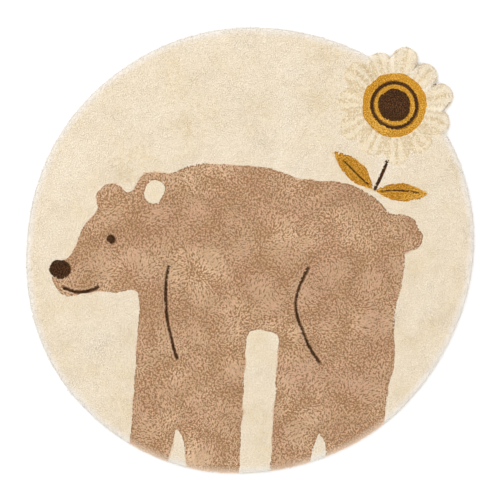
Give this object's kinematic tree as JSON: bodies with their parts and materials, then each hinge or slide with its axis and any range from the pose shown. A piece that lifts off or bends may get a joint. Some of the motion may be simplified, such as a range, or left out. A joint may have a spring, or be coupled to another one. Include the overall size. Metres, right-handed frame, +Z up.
{
  "type": "round children's rug with a bear motif",
  "caption": "Near-round hand-tufted cotton rug with cut pile, a bear and a flower in coloured pile, and petals that stand out past the rim.",
  "frame": {"origin": "middle of the underside, at floor level", "axes": "+Z up out of the pile, +Y to the top of the picture, +X to its right"},
  "size_m": [1.2001, 1.1945, 0.015],
  "materials": {
    "cream_pile": "cream cotton cut pile, matt and soft, with faint patches where it leans",
    "tan_pile": "tan cotton cut pile, matt, grainy with dark gaps between the tufts",
    "ochre_pile": "ochre cotton cut pile, matt",
    "brown_pile": "dark brown cotton cut pile, matt",
    "petal_pile": "cream cotton cut pile with fine beige rays",
    "base_cloth": "unbleached plain-woven cotton cloth, matt"
  },
  "bodies": {
    "root": {"rug": "cream_pile"}
  },
  "joints": []
}
